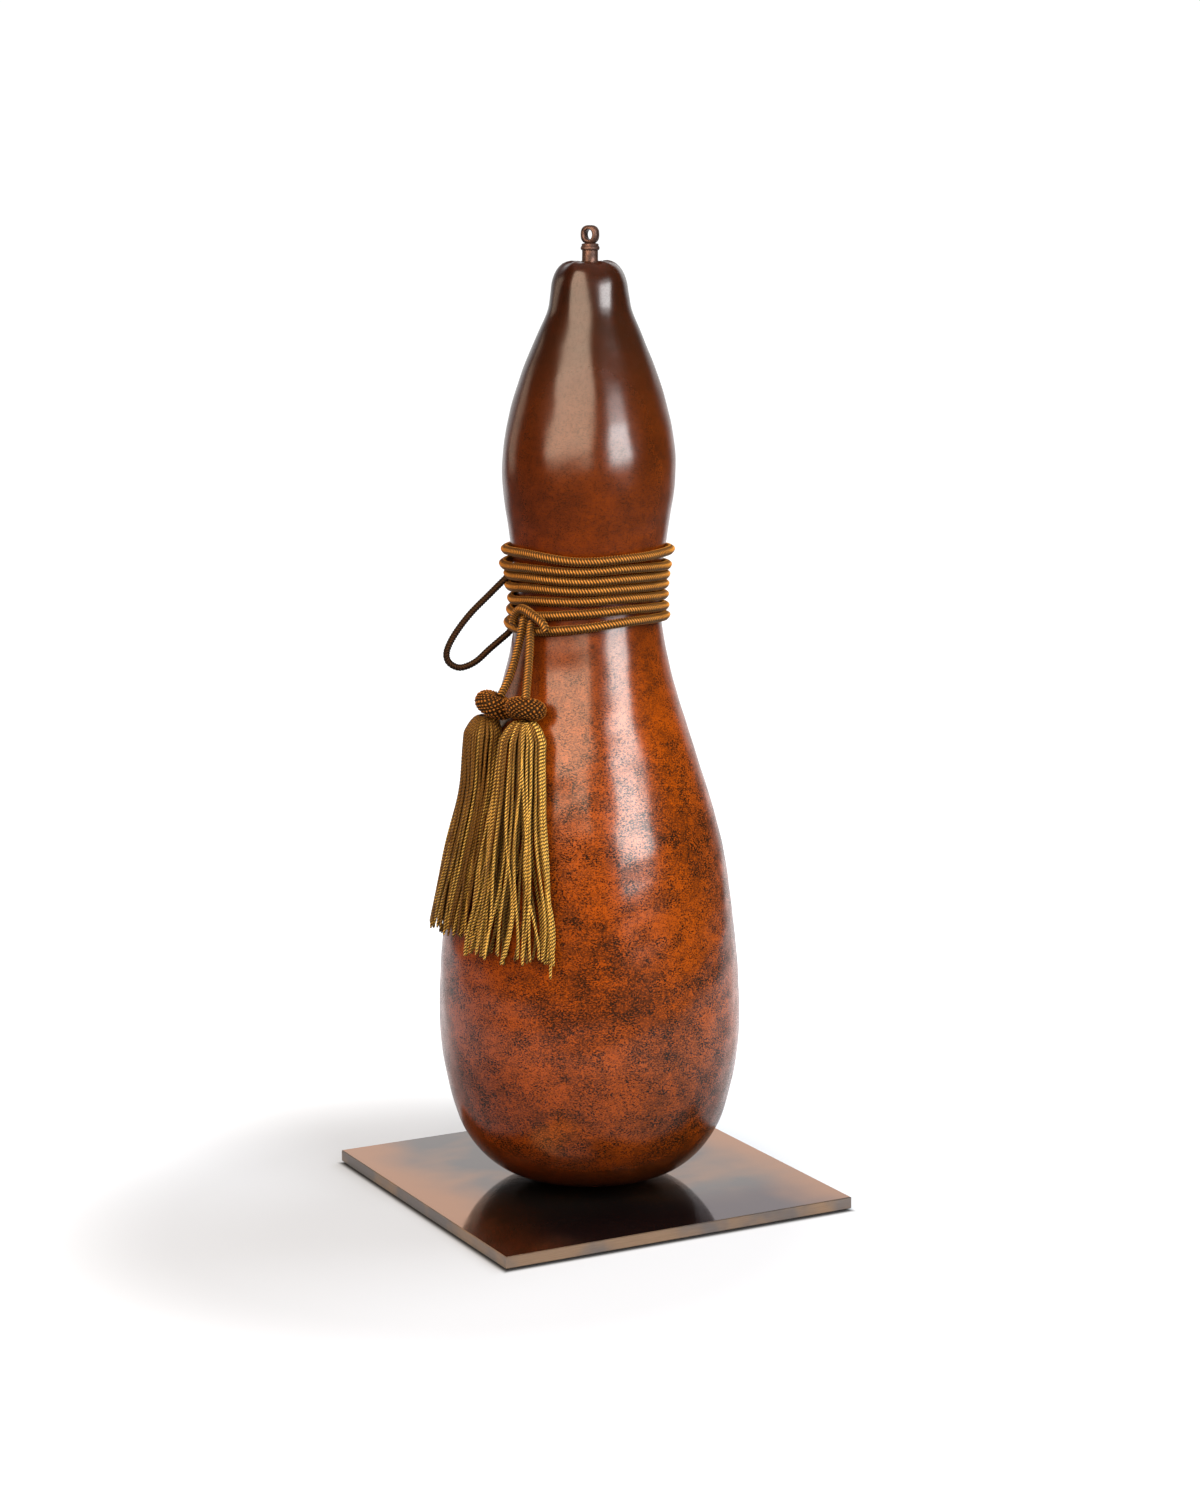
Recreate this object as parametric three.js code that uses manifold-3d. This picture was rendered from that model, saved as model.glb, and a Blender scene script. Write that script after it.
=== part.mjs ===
// Dried bottle gourd on a square metal stand, with a braided waist cord, two tassels and a stopper.
// Millimetres, +Z up. The origin is at the bottom centre of the stand, whose sides lie along X and Y.

import * as THREE from 'three';
import * as BufferGeometryUtils from 'three/addons/utils/BufferGeometryUtils.js';
import Module from 'manifold-3d';

const wasm = await Module();
wasm.setup();

// The gap that is kept between two pieces that touch.
const GAP = 0.3;

// The stand: a quarter inch plate, eight inches square, on a thin felt pad.
const PLATE_SIDE = 203.2;
const PLATE_THICK = 6.35;
const PLATE_CHAMFER = 0.4;
const FELT_THICK = 1.0;
const FELT_INSET = 2.0;
const FELT_GAP = 0.2;
const STAND_TOP = FELT_THICK + FELT_GAP + PLATE_THICK;

// The side of the stand that the tassels face is turned this far from -Y.
const FACING = THREE.MathUtils.degToRad(-28);

// The gourd's outline as [radius, height over the stand].
const GOURD_OUTLINE = [
  [15, 0],
  [34, 3],
  [52, 10],
  [66, 25],
  [74, 45],
  [79.5, 75],
  [79.5, 110],
  [75.5, 150],
  [69, 190],
  [59, 225],
  [49, 255],
  [41, 285],
  [37, 316],
  [41, 345],
  [45, 375],
  [43, 400],
  [36.3, 425],
  [28.6, 445],
  [22, 460],
  [20.3, 469],
  [19.3, 476],
  [17, 481.5],
  [13.5, 485],
  [9, 486],
];
const GOURD_HEIGHT = 486;
const GOURD_SIDES = 40;
const GOURD_RINGS = 44;
const GOURD_BOW = 1.1;
const CROWN_LOBES = 5;
const CROWN_LOBE_DEPTH = 0.8;
const CROWN_START = 455;

// The stopper's shank, collar and eyelet.
const SHANK_RADIUS = 4.15;
const SHANK_SUNK = 12;
const SHANK_SHOWN = 5.8;
const COLLAR_RADIUS = 4.9;
const COLLAR_HEIGHT = 3.2;
const EYE_WIDTH = 9.6;
const EYE_HEIGHT = 10;
const EYE_THICK = 4.6;
const EYE_HOLE_WIDTH = 4.4;
const EYE_HOLE_HEIGHT = 5.4;
const EYE_RIM = 1.0;
const EYE_RIM_PROUD = 0.5;
const EYE_TURN = -27;

// The waist cord: its height on each turn at five places from left to right, and its slack at the left.
const CORD_RADIUS = 2.25;
const CORD_SIDES = 8;
const CORD_LAY = 0.9;
const TURN_PLACES = [-88, -48, -7, 34, 88];
const TURN_HEIGHTS = [
  [338.3, 338.8, 336.0, 337.4, 338.3],
  [330.6, 331.2, 330.6, 331.9, 330.2],
  [325.6, 326.3, 325.5, 326.5, 325.2],
  [319.4, 320.9, 320.6, 321.4, 320.2],
  [312.6, 314.4, 315.2, 316.4, 314.6],
  [306.6, 307.0, 309.8, 311.0, 308.8],
  [299.8, 298.2, 300.4, 304.6, 303.8],
];
const TURN_SLACK = [0.6, 3.0, 1.4, 1.6, 0.2, 0.4, 0.8];
const SLACK_AT = -92;
const SLACK_SPREAD = 26;
const WRAP_STEP = 15;
// Both ends are tucked upright under the turns at the back, as [turn, height], and the turns ride over.
const TOP_TAIL = [[180, 317], [181, 324], [184, 331], [192, 337], [205, 339.6]];
const LOW_TAIL = [[146, 298.6], [160, 297.6], [170, 299.4], [177, 304], [180, 310]];
const RIDE_SPREAD = 34;

// The knot's bight and the two cord ends that hang from it, as [turn, height, lift off the gourd].
const KNOT_RADIUS = 2.3;
const KNOT_ROUTE = [
  [-58, 301.5, 7.8],
  [-56, 306.5, 8.0],
  [-51, 310.2, 8.2],
  [-44.5, 310.4, 8.8],
  [-36.5, 307.8, 9.2],
  [-30, 304.2, 8.8],
  [-28, 300, 7.8],
];
const LEFT_PENDANT = [
  [-46.6, 306.6, 7.8],
  [-47.6, 299.5, 7.8],
  [-48.8, 292, 7.8],
  [-50.1, 281.7, 8.4],
  [-51.2, 273.8, 9.3],
  [-52.6, 268.2, 10],
];
const RIGHT_PENDANT = [
  [-39.6, 305.2, 8.0],
  [-40.2, 299.5, 7.8],
  [-39.3, 292.8, 7.8],
  [-37.8, 282.8, 8.4],
  [-36.4, 275.4, 9.3],
  [-34.9, 268.2, 10],
];

// The tassels: a netted head each, and a skirt of twisted strands that lies down the gourd's shoulder.
const HEAD_RADIUS = 10.2;
const HEAD_HALF_HEIGHT = 5.6;
const HEAD_LIFT = 11.5;
const HEAD_SIDES = 24;
const HEAD_RINGS = 10;
const HEAD_NET = 0.5;
const HEAD_LEAN = 16;
const SKIRT_STRANDS = 26;
const SKIRT_RINGS = [1, 0.85, 0.7, 0.55, 0.4, 0.26, 0.14, 0.07, 0.035, 0.015, 0];
const SHOULDER_END = 0.07;
const SKIRT_GROOVE = 0.17;
const SKIRT_RAGGED = 3.2;
const SKIRT_SPLIT = 7;
const SKIRT_CLEAR = 0.6;
// Each tassel's turn, half width and half thickness, at its neck, a third, two thirds and its hem.
const TASSELS = {
  right: { headTurn: -33.4, headHeight: 261.6, top: 254.8, hem: 137, sway: 0,
    turns: [-32.4, -30.2, -29.6, -30.6], widths: [12.4, 15.6, 20.8, 26.5], depths: [10.6, 8.4, 6.4, 5.2] },
  left: { headTurn: -57.6, headHeight: 261.2, top: 254.4, hem: 143, sway: -9,
    turns: [-61.5, -59.4, -61.6, -66.4], widths: [11.6, 13.2, 15.6, 19.5], depths: [10.2, 6.4, 5.2, 4.8] },
};

// The thin loop at the left, as [across, away, height] seen from the side that the tassels face.
const LOOP_RADIUS = 1.55;
const LOOP_ROUTE = [
  [-45.8, -0.5, 321.2],
  [-52.6, 1, 314.2],
  [-62.9, 2.5, 303.6],
  [-71, 4, 292.7],
  [-75.2, 5, 284.1],
  [-75, 6, 278.6],
  [-71.6, 7, 275.3],
  [-67, 8, 274.6],
  [-60.2, 9, 277.6],
  [-52.8, 10, 284.2],
  [-46.3, 11, 289.7],
  [-41.6, 11.5, 293],
];

const COLOURS = {
  felt: { color: 0x151312, roughness: 0.95, metalness: 0 },
  copper: { color: 0x9a5a33, roughness: 0.18, metalness: 1 },
  gourd: { color: 0x8a3a12, roughness: 0.28, metalness: 0 },
  bronze: { color: 0x4a2a1e, roughness: 0.45, metalness: 0.7 },
  cord: { color: 0x8a4f1c, roughness: 0.8, metalness: 0 },
  tassel: { color: 0x9a7228, roughness: 0.8, metalness: 0 },
  dark: { color: 0x2a1a16, roughness: 0.7, metalness: 0 },
};

// Pieces and booleans.

function material(name) {
  return new THREE.MeshStandardMaterial({ name, ...COLOURS[name] });
}

function named(name, geometry, finish) {
  const mesh = new THREE.Mesh(geometry, finish);
  mesh.name = name;
  return mesh;
}

function solid(geometry) {
  const bare = geometry.index ? geometry.toNonIndexed() : geometry.clone();
  bare.deleteAttribute('normal');
  bare.deleteAttribute('uv');
  const merged = BufferGeometryUtils.mergeVertices(bare, 1e-3);
  return new wasm.Manifold(new wasm.Mesh({
    numProp: 3,
    vertProperties: new Float32Array(merged.getAttribute('position').array),
    triVerts: new Uint32Array(merged.index.array),
  }));
}

function geometryOf(body) {
  const mesh = body.getMesh();
  const geometry = new THREE.BufferGeometry();
  geometry.setAttribute('position', new THREE.BufferAttribute(new Float32Array(mesh.vertProperties), 3));
  geometry.setIndex(new THREE.BufferAttribute(new Uint32Array(mesh.triVerts), 1));
  return geometry;
}

// A drum of rings, whose every point is then placed by a function of its angle and ring number.
function shaped(sides, rings, place, ends) {
  const drum = [new THREE.Vector2(0, 0)];
  for (let ring = 0; ring <= rings; ring += 1) {
    drum.push(new THREE.Vector2(1, ring));
  }
  drum.push(new THREE.Vector2(0, rings));
  const geometry = new THREE.LatheGeometry(drum, sides);
  const at = geometry.getAttribute('position');
  for (let i = 0; i < at.count; i += 1) {
    const ring = Math.round(at.getY(i));
    const onAxis = Math.hypot(at.getX(i), at.getZ(i)) < 0.5;
    const angle = Math.atan2(at.getZ(i), at.getX(i));
    const point = onAxis ? ends(ring) : place(-angle, ring);
    at.setXYZ(i, point.x, point.y, point.z);
  }
  return geometry;
}

// Where things are on the gourd.

const outline = new THREE.SplineCurve(GOURD_OUTLINE.map(([r, h]) => new THREE.Vector2(r, h)));
const outlinePoints = outline.getPoints(220);

function gourdRadius(height) {
  const above = Math.max(1, outlinePoints.findIndex((p) => p.y > height));
  const low = outlinePoints[above - 1];
  const high = outlinePoints[above];
  const share = (height - low.y) / (high.y - low.y);
  return low.x + (high.x - low.x) * share;
}

// A point seen from the side that the tassels face: across to the right, away, and up from the stand.
function seen(across, away, height) {
  const point = new THREE.Vector3(across, away, STAND_TOP + height);
  return point.applyAxisAngle(new THREE.Vector3(0, 0, 1), FACING);
}

// A point at a turn from that side, positive to its right. The gourd's middle bows a little to its left.
function around(turn, radius, height) {
  const angle = THREE.MathUtils.degToRad(turn);
  const bow = GOURD_BOW * Math.sin(Math.PI * height / GOURD_HEIGHT);
  return seen(radius * Math.sin(angle) - bow, -radius * Math.cos(angle), height);
}

function onGourd([turn, height, lift]) {
  return around(turn, gourdRadius(height) + lift, height);
}

function tube(points, radius, steps, sides) {
  const curve = new THREE.CatmullRomCurve3(points);
  const section = new THREE.Shape();
  for (let i = 0; i < sides; i += 1) {
    const angle = 2 * Math.PI * i / sides;
    const corner = [radius * Math.cos(angle), radius * Math.sin(angle)];
    if (i === 0) section.moveTo(...corner);
    else section.lineTo(...corner);
  }
  section.closePath();
  return new THREE.ExtrudeGeometry(section, { steps, extrudePath: curve });
}

// The stand.

function feltPad() {
  const side = PLATE_SIDE - 2 * FELT_INSET;
  const pad = new THREE.BoxGeometry(side, side, FELT_THICK);
  return named('felt_pad', pad.translate(0, 0, FELT_THICK / 2), material('felt'));
}

function basePlate() {
  const half = PLATE_SIDE / 2 - PLATE_CHAMFER;
  const square = new THREE.Shape();
  square.moveTo(-half, -half);
  square.lineTo(half, -half);
  square.lineTo(half, half);
  square.lineTo(-half, half);
  square.closePath();
  const plate = new THREE.ExtrudeGeometry(square, {
    depth: PLATE_THICK - 2 * PLATE_CHAMFER,
    bevelThickness: PLATE_CHAMFER,
    bevelSize: PLATE_CHAMFER,
    bevelSegments: 1,
  });
  plate.translate(0, 0, FELT_THICK + FELT_GAP + PLATE_CHAMFER);
  return named('base_plate', plate, material('copper'));
}

// The gourd, with a gently lobed crown and a plain bore for the stopper.

function gourd() {
  const rings = outline.getPoints(GOURD_RINGS);
  const place = (angle, ring) => {
    const { x: radius, y: height } = rings[ring];
    const crown = THREE.MathUtils.smoothstep(height, CROWN_START, GOURD_HEIGHT);
    const lobe = CROWN_LOBE_DEPTH * crown * Math.cos(CROWN_LOBES * angle);
    return around(THREE.MathUtils.radToDeg(angle), radius + lobe, height + GAP + 0.4 * lobe);
  };
  const ends = (ring) => around(0, 0, rings[ring].y + GAP);
  const whole = solid(shaped(GOURD_SIDES, GOURD_RINGS, place, ends));
  const bore = new THREE.CylinderGeometry(SHANK_RADIUS + GAP, SHANK_RADIUS + GAP, 2 * SHANK_SUNK + 2, 24);
  bore.rotateX(Math.PI / 2);
  const mouth = around(0, 0, GOURD_HEIGHT);
  bore.translate(mouth.x, mouth.y, mouth.z);
  return named('gourd', geometryOf(whole.subtract(solid(bore))), material('gourd'));
}

// The stopper: shank, collar and an upright eyelet with a raised rim on both faces.

function ellipse(width, height, middle) {
  const shape = new THREE.Shape();
  shape.absellipse(0, middle, width / 2, height / 2, 0, 2 * Math.PI);
  return shape;
}

function eyelet() {
  const middle = EYE_HEIGHT / 2 + 0.2;
  const plate = new THREE.Shape();
  plate.moveTo(-COLLAR_RADIUS + 0.6, -0.6);
  plate.lineTo(COLLAR_RADIUS - 0.6, -0.6);
  plate.lineTo(EYE_WIDTH / 2, middle);
  plate.absellipse(0, middle, EYE_WIDTH / 2, EYE_HEIGHT / 2 - 0.2, 0, Math.PI);
  plate.closePath();
  const curves = { curveSegments: 10, bevelEnabled: false };
  const body = new THREE.ExtrudeGeometry(plate, { depth: EYE_THICK, ...curves });
  body.translate(0, 0, -EYE_THICK / 2);
  const rimShape = ellipse(EYE_HOLE_WIDTH + 2 * EYE_RIM, EYE_HOLE_HEIGHT + 2 * EYE_RIM, middle);
  const rimDepth = EYE_THICK + 2 * EYE_RIM_PROUD;
  const rim = new THREE.ExtrudeGeometry(rimShape, { depth: rimDepth, ...curves });
  rim.translate(0, 0, -rimDepth / 2);
  const holeDepth = EYE_THICK + 6;
  const hole = new THREE.ExtrudeGeometry(ellipse(EYE_HOLE_WIDTH, EYE_HOLE_HEIGHT, middle),
    { depth: holeDepth, ...curves });
  hole.translate(0, 0, -holeDepth / 2);
  const upright = (geometry) => {
    geometry.rotateX(Math.PI / 2);
    geometry.rotateZ(THREE.MathUtils.degToRad(EYE_TURN) + FACING);
    return solid(geometry);
  };
  return upright(body).add(upright(rim)).subtract(upright(hole));
}

function stopper() {
  const collarLow = SHANK_SHOWN;
  const collarHigh = SHANK_SHOWN + COLLAR_HEIGHT;
  const profile = [
    [0, -SHANK_SUNK],
    [SHANK_RADIUS - 0.5, -SHANK_SUNK],
    [SHANK_RADIUS, -SHANK_SUNK + 0.5],
    [SHANK_RADIUS, collarLow],
    [COLLAR_RADIUS, collarLow + 0.7],
    [COLLAR_RADIUS, collarHigh - 0.9],
    [COLLAR_RADIUS - 0.8, collarHigh],
    [0, collarHigh],
  ].map(([r, h]) => new THREE.Vector2(r, h));
  const stem = new THREE.LatheGeometry(profile, 24).rotateX(Math.PI / 2);
  const whole = solid(stem).add(eyelet().translate([0, 0, collarHigh]));
  const piece = named('stopper', geometryOf(whole), material('bronze'));
  piece.position.copy(around(0, 0, GOURD_HEIGHT));
  return piece;
}

// The waist cord: a helix that steps down at the back, with both ends tucked under the turns there.

function smoothed(a, b, c, d, share) {
  const rise = (c - a) / 2;
  const leave = (d - b) / 2;
  const t = share;
  return (2 * t ** 3 - 3 * t ** 2 + 1) * b + (t ** 3 - 2 * t ** 2 + t) * rise
    + (3 * t ** 2 - 2 * t ** 3) * c + (t ** 3 - t ** 2) * leave;
}

function wrapHeights() {
  const knots = [];
  TURN_HEIGHTS.forEach((row, number) => {
    row.forEach((height, i) => knots.push([360 * number + TURN_PLACES[i], height]));
    const next = TURN_HEIGHTS[number + 1];
    if (next) {
      knots.push([360 * number + 180, (row[row.length - 1] + next[0]) / 2]);
    }
  });
  return knots;
}

function heightAt(knots, winding) {
  const i = Math.max(1, knots.findIndex(([place]) => place >= winding));
  const [from, to] = [knots[i - 1], knots[i]];
  const before = knots[Math.max(0, i - 2)];
  const after = knots[Math.min(knots.length - 1, i + 1)];
  const share = (winding - from[0]) / (to[0] - from[0]);
  return smoothed(before[1], from[1], to[1], after[1], share);
}

function waistCord() {
  const knots = wrapHeights();
  const last = TURN_HEIGHTS.length - 1;
  const lay = CORD_RADIUS + CORD_LAY;
  const points = TOP_TAIL.map(([turn, height]) => onGourd([turn, height, lay]));
  for (let winding = TURN_PLACES[0] - 45; winding <= 360 * last + 130; winding += WRAP_STEP) {
    const number = Math.min(last, Math.max(0, Math.round(winding / 360)));
    const turn = winding - 360 * number;
    const height = heightAt(knots, Math.max(TURN_PLACES[0], Math.min(winding, 360 * last + 88)));
    const lean = winding > 360 * last + 88 ? (winding - 360 * last - 88) * -0.09 : 0;
    const slack = TURN_SLACK[number] * Math.exp(-(((turn - SLACK_AT) / SLACK_SPREAD) ** 2));
    const fromBack = 180 - Math.abs(turn);
    const covers = winding > 0 && winding < 360 * last;
    const ride = covers ? (1 - THREE.MathUtils.smoothstep(fromBack, 6, RIDE_SPREAD)) : 0;
    const over = ride * (2 * CORD_RADIUS + GAP);
    points.push(onGourd([turn, height + lean, lay + slack + over]));
  }
  LOW_TAIL.forEach(([turn, height]) => points.push(onGourd([turn, height, lay])));
  return named('waist_cord', tube(points, CORD_RADIUS, points.length, CORD_SIDES), material('cord'));
}

function laidCord(name, route, radius, steps, finish) {
  return named(name, tube(route.map(onGourd), radius, steps, CORD_SIDES), material(finish));
}

// The tassels.

// A drum point on the tassel's own axis, leaned to the gourd's slope and set on the gourd.
function headPoint(tassel, outward, side, up) {
  const lean = THREE.MathUtils.degToRad(HEAD_LEAN);
  const out = outward * Math.cos(lean) - up * Math.sin(lean);
  const rise = outward * Math.sin(lean) + up * Math.cos(lean);
  const swing = THREE.MathUtils.degToRad(tassel.sway);
  const across = side * Math.cos(swing) + rise * -Math.sin(swing);
  const height = side * Math.sin(swing) + rise * Math.cos(swing);
  const radius = gourdRadius(tassel.headHeight) + HEAD_LIFT + out;
  const turn = tassel.headTurn + THREE.MathUtils.radToDeg(across / radius);
  return around(turn, radius, tassel.headHeight + height);
}

function tasselHead(name, tassel) {
  const place = (angle, ring) => {
    const rise = -Math.PI / 2 + Math.PI * (ring + 0.8) / (HEAD_RINGS + 1.6);
    const net = HEAD_NET * Math.cos(HEAD_SIDES / 2 * angle) * (ring % 2 ? 1 : -1);
    const radius = (HEAD_RADIUS + net) * Math.cos(rise) ** 0.7;
    return headPoint(tassel, radius * Math.cos(angle), radius * Math.sin(angle),
      HEAD_HALF_HEIGHT * Math.sin(rise));
  };
  const ends = (ring) => headPoint(tassel, 0, 0, (ring ? 1 : -1) * (HEAD_HALF_HEIGHT - 0.2));
  return named(name, shaped(HEAD_SIDES, HEAD_RINGS, place, ends), material('cord'));
}

// A value along the skirt from its four stated ones.
function along(values, share) {
  const place = Math.min(values.length - 1.0001, share * (values.length - 1));
  const i = Math.floor(place);
  const before = values[Math.max(0, i - 1)];
  const after = values[Math.min(values.length - 1, i + 2)];
  return smoothed(before, values[i], values[i + 1], after, place - i);
}

// A repeatable draw between 0 and 1 for a strand.
function draw(strand, salt) {
  const wave = Math.sin(strand * 127.1 + salt * 311.7) * 43758.5453;
  return wave - Math.floor(wave);
}

function tasselSkirt(name, tassel) {
  const rings = SKIRT_RINGS.length - 1;
  const sides = 3 * SKIRT_STRANDS;
  const place = (angle, ring) => {
    const share = SKIRT_RINGS[ring];
    const side = Math.round((angle + 2 * Math.PI) / (2 * Math.PI) * sides) % sides;
    const strand = Math.floor(side / 3);
    const groove = side % 3 === 0 ? 1 : 0;
    const shoulder = 0.45 + 0.55 * Math.sqrt(Math.min(1, share / SHOULDER_END));
    const size = shoulder * (1 - SKIRT_GROOVE * groove);
    const width = along(tassel.widths, share) * size;
    const depth = along(tassel.depths, share) * size;
    const ragged = share ** 6 * (SKIRT_RAGGED * (2 * draw(strand, 1) - 1) + SKIRT_SPLIT * groove);
    const height = THREE.MathUtils.lerp(tassel.top, tassel.hem, share) + ragged;
    const thick = along(tassel.depths, share);
    const radius = gourdRadius(height) + SKIRT_CLEAR + thick + depth * Math.cos(angle);
    const turn = along(tassel.turns, share)
      + THREE.MathUtils.radToDeg(width * Math.sin(angle) / (gourdRadius(height) + thick));
    return around(turn, radius, height);
  };
  const ends = (ring) => {
    const share = ring ? 0 : 1;
    const height = ring ? tassel.top : tassel.hem + SKIRT_SPLIT;
    const lift = SKIRT_CLEAR + along(tassel.depths, share);
    return onGourd([along(tassel.turns, share), height, lift]);
  };
  return named(name, shaped(sides, rings, place, ends), material('tassel'));
}

function loopCord() {
  const points = LOOP_ROUTE.map(([across, away, height]) => seen(across, away, height));
  return named('loop_cord', tube(points, LOOP_RADIUS, 40, CORD_SIDES), material('dark'));
}

const group = new THREE.Group();
group.add(feltPad());
group.add(basePlate());
group.add(gourd());
group.add(stopper());
group.add(waistCord());
group.add(laidCord('cord_knot', KNOT_ROUTE, KNOT_RADIUS, 16, 'cord'));
group.add(laidCord('pendant_left', LEFT_PENDANT, CORD_RADIUS, 10, 'cord'));
group.add(laidCord('pendant_right', RIGHT_PENDANT, CORD_RADIUS, 10, 'cord'));
for (const [side, tassel] of Object.entries(TASSELS)) {
  group.add(tasselHead(`tassel_head_${side}`, tassel));
  group.add(tasselSkirt(`tassel_skirt_${side}`, tassel));
}
group.add(loopCord());

export default group;
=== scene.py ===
"""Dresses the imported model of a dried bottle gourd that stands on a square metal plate."""

import math

import bpy
import numpy as np
from bpy.props import FloatProperty, FloatVectorProperty, IntProperty, PointerProperty
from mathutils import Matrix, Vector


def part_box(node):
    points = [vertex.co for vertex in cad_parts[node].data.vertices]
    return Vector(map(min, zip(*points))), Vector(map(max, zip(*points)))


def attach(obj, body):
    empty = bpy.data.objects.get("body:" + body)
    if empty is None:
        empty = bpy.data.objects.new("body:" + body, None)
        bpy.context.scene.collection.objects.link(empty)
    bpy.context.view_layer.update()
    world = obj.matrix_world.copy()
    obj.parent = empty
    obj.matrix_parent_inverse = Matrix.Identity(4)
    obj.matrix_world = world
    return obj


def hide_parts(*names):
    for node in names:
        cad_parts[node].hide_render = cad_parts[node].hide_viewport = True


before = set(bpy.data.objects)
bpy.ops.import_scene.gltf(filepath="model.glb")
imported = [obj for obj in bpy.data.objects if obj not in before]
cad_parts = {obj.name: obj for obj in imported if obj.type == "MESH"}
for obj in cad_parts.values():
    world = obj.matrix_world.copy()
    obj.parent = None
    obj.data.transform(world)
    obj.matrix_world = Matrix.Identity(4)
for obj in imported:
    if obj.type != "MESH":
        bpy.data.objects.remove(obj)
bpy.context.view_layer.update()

bl_info = {
    "name": "Dried bottle gourd",
    "version": (1, 0, 0),
    "blender": (4, 5, 0),
    "location": "3D View > Sidebar > Gourd",
    "description": "Builds the finish of a lacquered bottle gourd with its cord, tassels and stand",
    "category": "Object",
}

MM = 0.001

# The stand's top in millimetres, half its side in metres, and the tassels' side as a turn from -Y.
STAND_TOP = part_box("base_plate")[1].z / MM
PLATE_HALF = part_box("base_plate")[1].x
FACING = math.radians(-28)

# The gourd's outline as (radius, height over the stand), in millimetres as all the sizes here.
GOURD_OUTLINE = [
    (15, 0), (34, 3), (52, 10), (66, 25), (74, 45), (79.5, 75), (79.5, 110), (75.5, 150),
    (69, 190), (59, 225), (49, 255), (41, 285), (37, 316), (41, 345), (45, 375), (43, 400),
    (36.3, 425), (28.6, 445), (22, 460), (20.3, 469), (19.3, 476), (17, 481.5), (13.5, 485),
    (9, 486),
]
# Its height, how far its middle bows to the left, and the gap between it and the stand.
GOURD_HEIGHT = 486
GOURD_BOW = 1.1
GAP = 0.3
# The bore for the stopper, the crown's start, and dents as (turn, height, width, rise, depth).
MOUTH = [(6.4, 485.6), (4.9, 484.6), (4.45, 483), (4.42, 478), (4.4, 474)]
CROWN_FROM = 455
DENTS = ((24, 437, 15, 15, 1.0), (336, 452, 12, 9, 0.4))

# The stopper as (radius, height over the gourd's top). Its eyelet has a middle, half sizes with
# those of the eye, corners, a turn, and a section as (share of the way out, half thickness).
STOPPER_PROFILE = [
    (0.6, -11.9), (3.7, -11.8), (4.05, -11.2), (4.15, -6), (4.15, 0), (4.1, 5.4), (4.2, 5.9),
    (4.7, 6.2), (4.85, 6.7), (4.85, 7.3), (4.65, 7.8), (4.35, 8.2), (4.1, 9.2), (1.2, 9.7),
]
EYELET_MIDDLE = 13.85
EYELET_HALF = (4.7, 4.75)
EYE_HALF = (2.15, 2.6)
EYELET_CORNERS = 2.6
EYELET_TURN = math.radians(-27)
EYELET_SECTION = np.array([
    (0.0, -1.2), (0.0, 1.2), (0.10, 2.45), (0.30, 2.75), (0.52, 2.4), (0.72, 2.15), (0.92, 1.7),
    (1.0, 0.9), (1.0, -0.9), (0.92, -1.7), (0.72, -2.15), (0.52, -2.4), (0.30, -2.75),
    (0.10, -2.45),
])

# The waist cord: its height on each turn at five places from left to right, and its slack at the
# left, which is greatest at one turn in degrees and spreads to both sides of it.
TURN_PLACES = (-88, -48, -7, 34, 88)
TURN_HEIGHTS = (
    (338.3, 338.8, 336.0, 337.4, 338.3),
    (330.6, 331.2, 330.6, 331.9, 330.2),
    (325.6, 326.3, 325.5, 326.5, 325.2),
    (319.4, 320.9, 320.6, 321.4, 320.2),
    (312.6, 314.4, 315.2, 316.4, 314.6),
    (306.6, 306.6, 308.9, 310.6, 308.8),
    (299.8, 298.8, 301.5, 304.6, 303.8),
)
TURN_SLACK = (0.6, 3.0, 1.4, 1.6, 0.2, 0.4, 0.8)
SLACK_AT = -92
SLACK_SPREAD = 26
# Its tucked ends as (turn, height).
TOP_TAIL = ((180, 317), (181, 324), (184, 331), (192, 337), (205, 339.6))
LOW_TAIL = ((146, 298.6), (160, 297.6), (170, 299.4), (177, 304), (180, 310))
# How many degrees off the back each turn starts and ends to ride over the next, and how high.
RIDE_SPREAD = 34
RIDE_TOP = 6
RIDE_LIFT = 4.8

# The knot's bight and the two cord ends, as (turn, height, lift off the gourd).
KNOT_ROUTE = (
    (-58, 301.5, 7.8), (-56, 306.5, 8.0), (-51, 310.2, 8.2), (-44.5, 310.4, 8.8),
    (-36.5, 307.8, 9.2), (-30, 304.2, 8.8), (-28, 300, 7.8),
)
LEFT_PENDANT = (
    (-46.6, 306.6, 7.8), (-47.6, 299.5, 7.8), (-48.8, 292, 7.8), (-50.1, 281.7, 8.4),
    (-51.2, 273.8, 9.3), (-52.4, 268.2, 10.4), (-53.0, 265.6, 10.8),
)
RIGHT_PENDANT = (
    (-39.6, 305.2, 8.0), (-40.2, 299.5, 7.8), (-39.3, 292.8, 7.8), (-37.8, 282.8, 8.4),
    (-36.4, 275.4, 9.3), (-34.9, 268.2, 10.4), (-34.4, 265.6, 10.8),
)

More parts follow.
